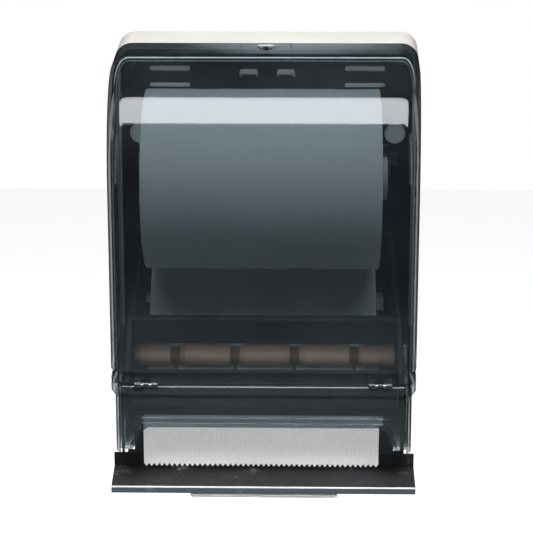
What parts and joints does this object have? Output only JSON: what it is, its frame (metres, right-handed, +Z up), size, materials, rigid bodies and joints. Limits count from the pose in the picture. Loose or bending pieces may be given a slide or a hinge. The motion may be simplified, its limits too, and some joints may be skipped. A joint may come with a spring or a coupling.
{
  "type": "push-bar roll towel dispenser",
  "caption": "Wall-mounted roll towel dispenser with a smoked drop-down cover, a lock on top and a push bar that feeds the paper.",
  "frame": {"origin": "centre of the four wall slots, on the wall plane", "axes": "+X to the right seen from the front, +Y towards the wall, +Z up; the front faces -Y"},
  "size_m": [0.28, 0.231, 0.384],
  "materials": {
    "cream_plastic": "fine moulded texture",
    "smoke_plastic": "see-through smoke, polished",
    "black_plastic": "fine leather grain",
    "white_plastic": "moulded",
    "grey_plastic": "moulded",
    "brown_rubber": "ground",
    "brown_plastic": "moulded",
    "dark_rubber": "ground",
    "zinc_steel": "zinc plated",
    "spring_steel": "bright",
    "bronze": "sintered",
    "nickel": "satin nickel plate",
    "paper": "embossed",
    "card": "wound card"
  },
  "bodies": {
    "dispenser": {"rear_casing": "cream_plastic", "throat_cover": "smoke_plastic", "hinge_pin_left": "zinc_steel", "hinge_pin_right": "zinc_steel", "cutter_blade": "spring_steel", "chassis_frame": "black_plastic", "cheek_left": "black_plastic", "cheek_right": "black_plastic", "guide_rail": "black_plastic", "outlet_chute": "black_plastic", "strip_bar": "black_plastic", "compound_stud": "zinc_steel", "idler_stud": "zinc_steel", "bar_pivot_left": "zinc_steel", "bar_pivot_right": "zinc_steel", "return_spring": "spring_steel", "roller_bush_left": "bronze", "roller_bush_right": "bronze", "yoke_pins": "zinc_steel", "press_springs": "spring_steel", "towel_sheet": "paper", "holder_bracket_left": "black_plastic", "holder_bracket_right": "black_plastic", "holder_pin_left": "zinc_steel", "holder_pin_right": "zinc_steel", "holder_spring_left": "spring_steel", "holder_spring_right": "spring_steel", "lock_keeper": "black_plastic", "stub_clip_left": "white_plastic", "stub_clip_right": "white_plastic", "frame_screws": "zinc_steel"},
    "cover": {"front_cover": "smoke_plastic", "lock_housing": "black_plastic"},
    "lock": {"lock_barrel": "nickel", "lock_cam": "nickel"},
    "bar": {"push_bar": "black_plastic", "bar_arm_left": "zinc_steel", "bar_arm_right": "black_plastic", "bar_screws": "zinc_steel"},
    "compound": {"compound_gear": "white_plastic"},
    "idler": {"idler_gear": "white_plastic"},
    "drive_roller": {"roller_shaft": "zinc_steel", "roller_core": "brown_plastic", "roller_sleeve_1": "brown_rubber", "roller_sleeve_2": "brown_rubber", "roller_sleeve_3": "brown_rubber", "roller_sleeve_4": "brown_rubber", "roller_sleeve_5": "brown_rubber", "roller_gear": "white_plastic", "one_way_clutch": "zinc_steel"},
    "yoke": {"pressure_yoke": "zinc_steel"},
    "press_roller": {"press_shaft": "zinc_steel", "press_core": "grey_plastic", "press_wheels": "dark_rubber"},
    "holder_left": {"holder_arm_left": "grey_plastic", "roll_hub_left": "white_plastic"},
    "holder_right": {"holder_arm_right": "grey_plastic", "roll_hub_right": "white_plastic"},
    "roll": {"towel_roll": "paper", "roll_core": "card"}
  },
  "joints": [
    {"name": "cover_hinge", "type": "hinge", "parent": "dispenser", "child": "cover", "pos_m": [0, -0.228, -0.1185], "axis": [1, 0, 0], "range_deg": [0, 105]},
    {"name": "lock_turn", "type": "hinge", "parent": "cover", "child": "lock", "pos_m": [0, -0.095, 0.145], "axis": [0, 0, 1], "range_deg": [0, 90]},
    {"name": "bar_push", "type": "hinge", "parent": "dispenser", "child": "bar", "pos_m": [0, -0.207, -0.131], "axis": [1, 0, 0], "range_deg": [0, 22], "stiffness_Nm_per_rad": 2.5, "springref_deg": -11.46, "deforming": ["return_spring"]},
    {"name": "compound_spin", "type": "hinge", "parent": "dispenser", "child": "compound", "pos_m": [0, -0.16117, -0.15557], "axis": [1, 0, 0], "range_deg": [-141.43, 0]},
    {"name": "idler_spin", "type": "hinge", "parent": "dispenser", "child": "idler", "pos_m": [0, -0.15208, -0.12489], "axis": [1, 0, 0], "range_deg": [0, 424.29]},
    {"name": "drive_roller_spin", "type": "hinge", "parent": "dispenser", "child": "drive_roller", "pos_m": [0, -0.16008, -0.11103], "axis": [1, 0, 0], "range_deg": [-424.29, 0]},
    {"name": "yoke_tilt", "type": "hinge", "parent": "dispenser", "child": "yoke", "pos_m": [0, -0.122, -0.141], "axis": [1, 0, 0], "range_deg": [0, 6], "stiffness_Nm_per_rad": 1, "springref_deg": -8.59, "deforming": ["press_springs"]},
    {"name": "press_roller_spin", "type": "hinge", "parent": "yoke", "child": "press_roller", "pos_m": [0, -0.15103, -0.12671], "axis": [1, 0, 0], "range_deg": [0, 606.13]},
    {"name": "holder_left_swing", "type": "hinge", "parent": "dispenser", "child": "holder_left", "pos_m": [-0.108, -0.034, 0.04], "axis": [0, 0, -1], "range_deg": [0, 9], "stiffness_Nm_per_rad": 2, "springref_deg": -5.73, "deforming": ["holder_spring_left"]},
    {"name": "holder_right_swing", "type": "hinge", "parent": "dispenser", "child": "holder_right", "pos_m": [0.108, -0.034, 0.04], "axis": [0, 0, 1], "range_deg": [0, 9], "stiffness_Nm_per_rad": 2, "springref_deg": -5.73, "deforming": ["holder_spring_right"]},
    {"name": "roll_spin", "type": "hinge", "parent": "dispenser", "child": "roll", "pos_m": [0, -0.124, 0.039], "axis": [1, 0, 0], "range_deg": [-53.71, 0]}
  ],
  "couplings": [
    {"joint": "compound_spin", "follows": "bar_push", "ratio": -6.4286},
    {"joint": "idler_spin", "follows": "bar_push", "ratio": 19.286},
    {"joint": "drive_roller_spin", "follows": "bar_push", "ratio": -19.286},
    {"joint": "press_roller_spin", "follows": "bar_push", "ratio": 27.551},
    {"joint": "roll_spin", "follows": "bar_push", "ratio": -2.4412}
  ]
}
